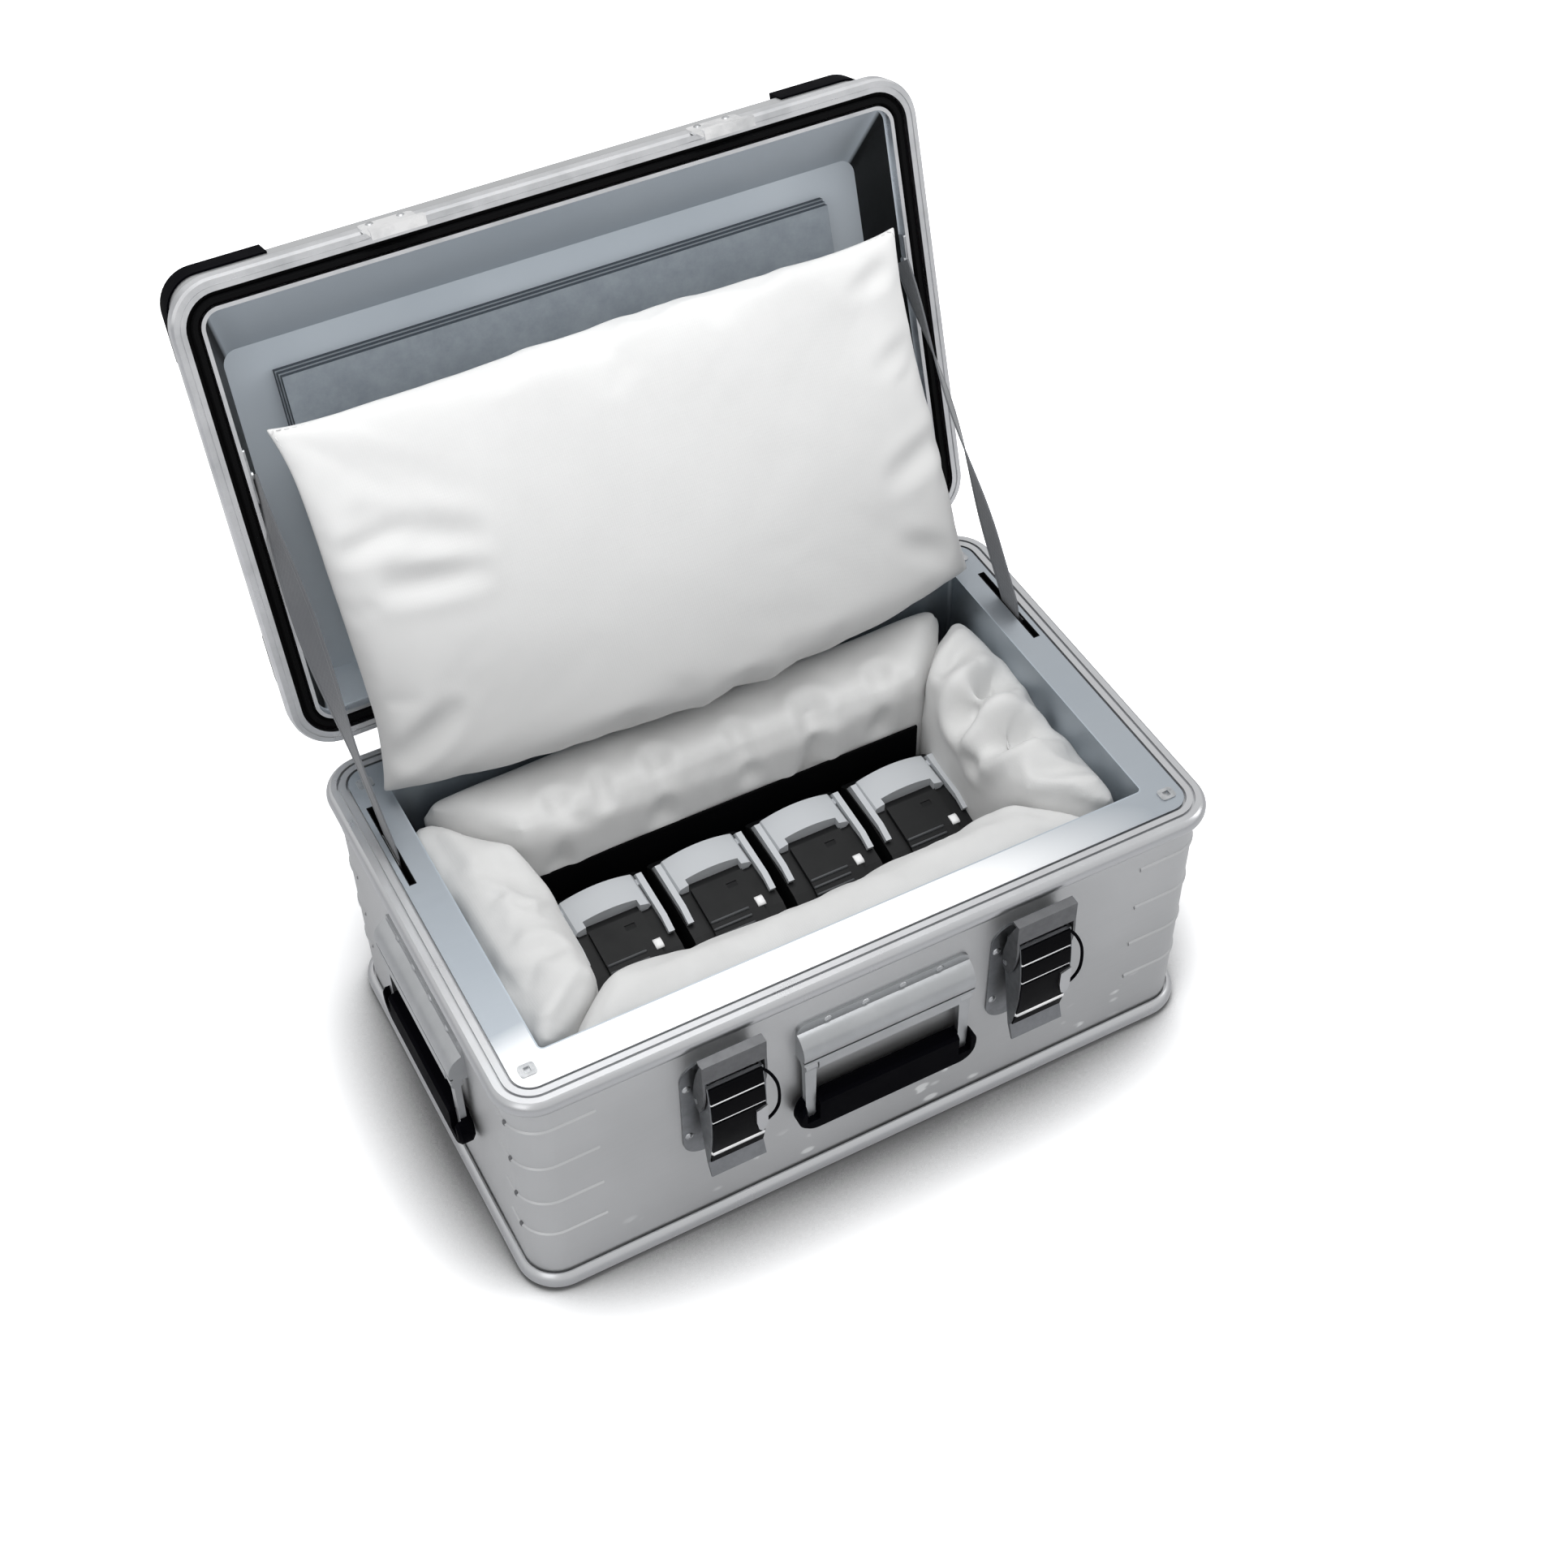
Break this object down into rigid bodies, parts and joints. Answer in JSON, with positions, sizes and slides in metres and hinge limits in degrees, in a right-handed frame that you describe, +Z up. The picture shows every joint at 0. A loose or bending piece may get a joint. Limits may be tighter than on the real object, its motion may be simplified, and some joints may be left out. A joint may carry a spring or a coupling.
{
  "type": "battery transport case",
  "caption": "Aluminium transport case with hinged lid, over-centre latches, drop handles, cushioned well and lift-out battery packs.",
  "frame": {"origin": "centre of the case footprint in the plane of the skid profile's underside", "axes": "+X to the right along the case's long side, +Y to the hinged back, +Z up"},
  "size_m": [0.6184, 0.5904, 0.6297],
  "materials": {
    "shell_alu": "satin",
    "profile_alu": "satin",
    "liner_alu": "satin",
    "bright_steel": "brushed",
    "pad_fabric": "woven",
    "pillow_fabric": "woven",
    "tray_black": "matt",
    "pack_dark": "matt",
    "pack_light": "satin",
    "black_plastic": "matt",
    "board": "matt",
    "seal_rubber": "matt",
    "stay_webbing": "woven"
  },
  "bodies": {
    "case": {"base_shell": "shell_alu", "base_rim": "profile_alu", "skid_profile": "profile_alu", "inner_liner": "liner_alu", "liner_flange": "liner_alu", "flange_plugs": "bright_steel", "bottom_pad": "pad_fabric", "front_pad": "pad_fabric", "back_pad": "pad_fabric", "left_pad": "pad_fabric", "right_pad": "pad_fabric", "pack_tray": "tray_black", "hinge_pins": "bright_steel", "latch_pins": "bright_steel", "stay_feet": "bright_steel", "base_rivets": "bright_steel", "stay_left": "stay_webbing", "stay_right": "stay_webbing", "hinge_left_base_leaf": "bright_steel", "latch_left_plate": "bright_steel", "hinge_right_base_leaf": "bright_steel", "latch_right_plate": "bright_steel", "front_handle_bracket": "profile_alu", "left_handle_bracket": "profile_alu", "right_handle_bracket": "profile_alu"},
    "lid": {"lid_shell": "shell_alu", "lid_rim": "profile_alu", "lid_seal": "seal_rubber", "lid_liner": "liner_alu", "lid_board": "board", "stacking_corners": "black_plastic", "stay_anchors": "bright_steel", "lid_rivets": "bright_steel", "hinge_left_lid_leaf": "bright_steel", "keeper_left": "bright_steel", "hinge_right_lid_leaf": "bright_steel", "keeper_right": "bright_steel"},
    "pillow": {"top_pillow": "pillow_fabric"},
    "latch_left": {"latch_left_lever": "bright_steel", "latch_left_bands": "black_plastic", "latch_left_claw_pins": "bright_steel"},
    "claw_left": {"latch_left_claw": "bright_steel"},
    "latch_right": {"latch_right_lever": "bright_steel", "latch_right_bands": "black_plastic", "latch_right_claw_pins": "bright_steel"},
    "claw_right": {"latch_right_claw": "bright_steel"},
    "front_bail": {"front_handle_bail": "bright_steel", "front_handle_grip": "black_plastic"},
    "left_bail": {"left_handle_bail": "bright_steel", "left_handle_grip": "black_plastic"},
    "right_bail": {"right_handle_bail": "bright_steel", "right_handle_grip": "black_plastic"},
    "pack_1": {"pack_1_case": "pack_dark", "pack_1_cap": "pack_light"},
    "pack_2": {"pack_2_case": "pack_dark", "pack_2_cap": "pack_light"},
    "pack_3": {"pack_3_case": "pack_dark", "pack_3_cap": "pack_light"},
    "pack_4": {"pack_4_case": "pack_dark", "pack_4_cap": "pack_light"}
  },
  "joints": [
    {"name": "lid_hinge", "type": "hinge", "parent": "case", "child": "lid", "pos_m": [0, 0.196, 0.247], "axis": [-1, 0, 0], "range_deg": [-108, 0], "deforming": ["stay_left", "stay_right"]},
    {"name": "pillow_turn", "type": "hinge", "parent": "case", "child": "pillow", "pos_m": [0, 0.129, 0.2563], "axis": [-1, 0, 0], "range_deg": [-118, 0]},
    {"name": "latch_left_turn", "type": "hinge", "parent": "case", "child": "latch_left", "pos_m": [-0.132, -0.1925, 0.198], "axis": [-1, 0, 0], "range_deg": [0, 115]},
    {"name": "claw_left_turn", "type": "hinge", "parent": "latch_left", "child": "claw_left", "pos_m": [-0.132, -0.189, 0.176], "axis": [-1, 0, 0], "range_deg": [-115, 0]},
    {"name": "latch_right_turn", "type": "hinge", "parent": "case", "child": "latch_right", "pos_m": [0.132, -0.1925, 0.198], "axis": [-1, 0, 0], "range_deg": [0, 115]},
    {"name": "claw_right_turn", "type": "hinge", "parent": "latch_right", "child": "claw_right", "pos_m": [0.132, -0.189, 0.176], "axis": [-1, 0, 0], "range_deg": [-115, 0]},
    {"name": "front_bail_swing", "type": "hinge", "parent": "case", "child": "front_bail", "pos_m": [0.003, -0.1887, 0.158], "axis": [-1, 0, 0], "range_deg": [0, 95]},
    {"name": "left_bail_swing", "type": "hinge", "parent": "case", "child": "left_bail", "pos_m": [-0.3012, -0.008, 0.158], "axis": [0, 1, 0], "range_deg": [0, 95]},
    {"name": "right_bail_swing", "type": "hinge", "parent": "case", "child": "right_bail", "pos_m": [0.3012, -0.008, 0.158], "axis": [0, -1, 0], "range_deg": [0, 95]},
    {"name": "pack_1_lift", "type": "slide", "parent": "case", "child": "pack_1", "axis": [0, 0, 1], "range_m": [0, 0.21]},
    {"name": "pack_2_lift", "type": "slide", "parent": "case", "child": "pack_2", "axis": [0, 0, 1], "range_m": [0, 0.21]},
    {"name": "pack_3_lift", "type": "slide", "parent": "case", "child": "pack_3", "axis": [0, 0, 1], "range_m": [0, 0.21]},
    {"name": "pack_4_lift", "type": "slide", "parent": "case", "child": "pack_4", "axis": [0, 0, 1], "range_m": [0, 0.21]}
  ],
  "couplings": [
    {"joint": "pillow_turn", "follows": "lid_hinge", "ratio": 1.0925},
    {"joint": "claw_left_turn", "follows": "latch_left_turn", "ratio": -1},
    {"joint": "claw_right_turn", "follows": "latch_right_turn", "ratio": -1}
  ]
}
